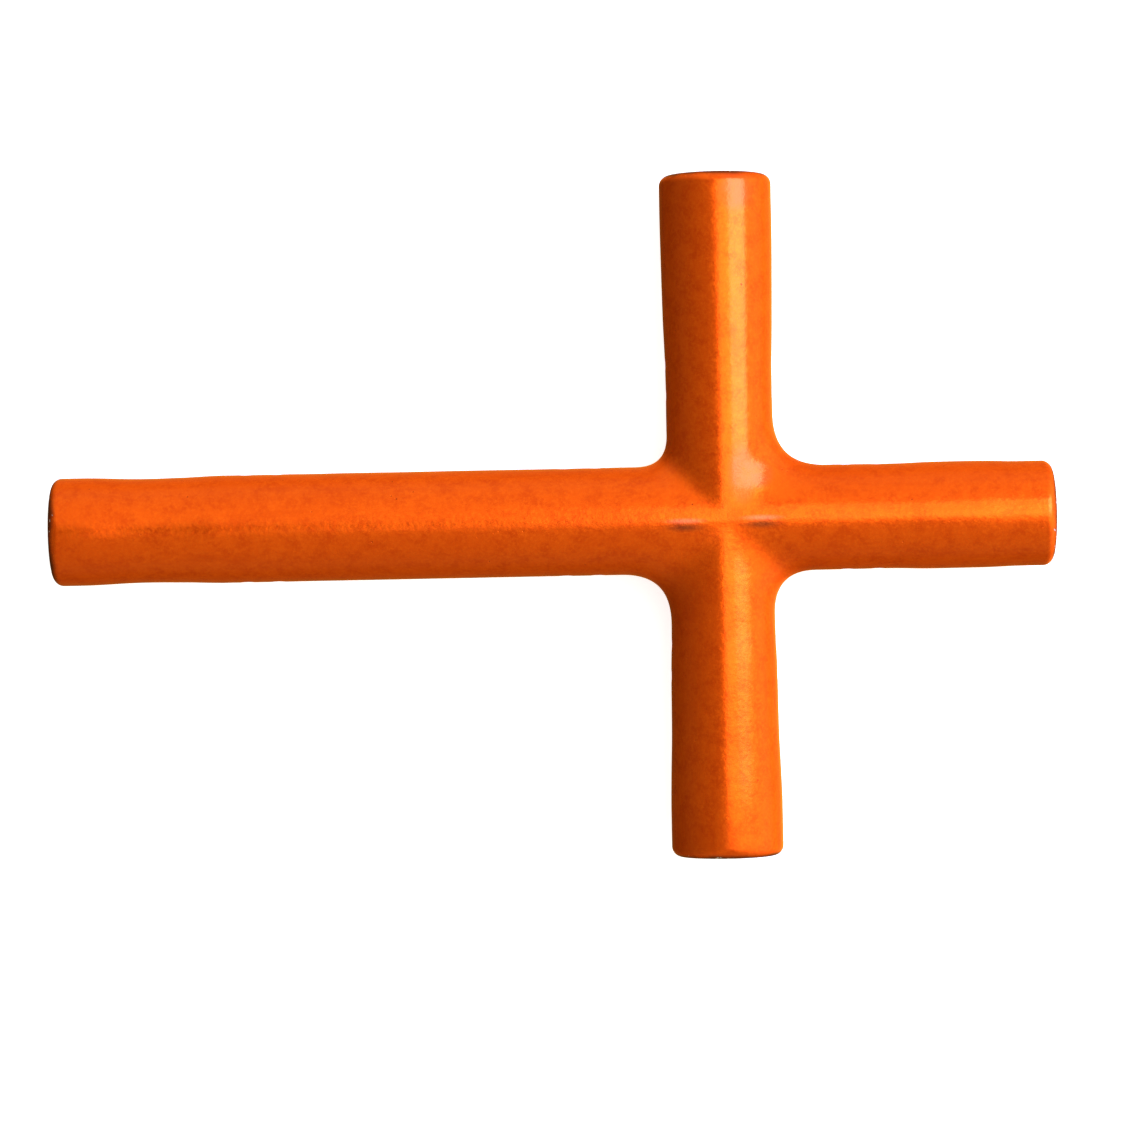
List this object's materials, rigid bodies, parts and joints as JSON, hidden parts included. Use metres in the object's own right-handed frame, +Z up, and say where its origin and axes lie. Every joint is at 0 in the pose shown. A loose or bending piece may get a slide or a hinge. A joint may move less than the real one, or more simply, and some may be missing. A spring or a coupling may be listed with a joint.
{
  "type": "fire hydrant wrench",
  "caption": "Rigid cross wrench for fire hydrants: filleted cast hub, short arms and one long tubular arm, with pentagon and square sockets in the arm ends, painted orange",
  "frame": {"origin": "centre of the footprint, on the surface that the tool lies on", "axes": "the tool lies flat: the long arm points to -X and the short arm opposite it to +X, the arm with the large pentagon socket to +Y, the arm with the large square socket to -Y, +Z up"},
  "size_m": [0.4486, 0.3056, 0.0503],
  "materials": {
    "orange_paint": "semi-gloss, hand-sprayed",
    "bare_steel": "satin, lightly oiled",
    "spring_steel": "black oxide"
  },
  "bodies": {
    "root": {"cross_hub": "orange_paint", "long_arm_tube": "orange_paint", "pentagon_head_large": "orange_paint", "square_head_large": "orange_paint", "square_head_small": "orange_paint", "pentagon_head_small": "orange_paint", "core_plug_pentagon_head_large": "bare_steel", "core_plug_square_head_large": "bare_steel", "core_plug_square_head_small": "bare_steel", "core_plug_pentagon_head_small": "bare_steel", "spring_pin_east_1": "spring_steel", "spring_pin_east_2": "spring_steel", "spring_pin_north_1": "spring_steel", "spring_pin_north_2": "spring_steel", "spring_pin_south_1": "spring_steel", "spring_pin_south_2": "spring_steel", "spring_pin_west_1": "spring_steel", "spring_pin_west_2": "spring_steel", "spring_pin_tube_1": "spring_steel", "spring_pin_tube_2": "spring_steel"}
  },
  "joints": []
}
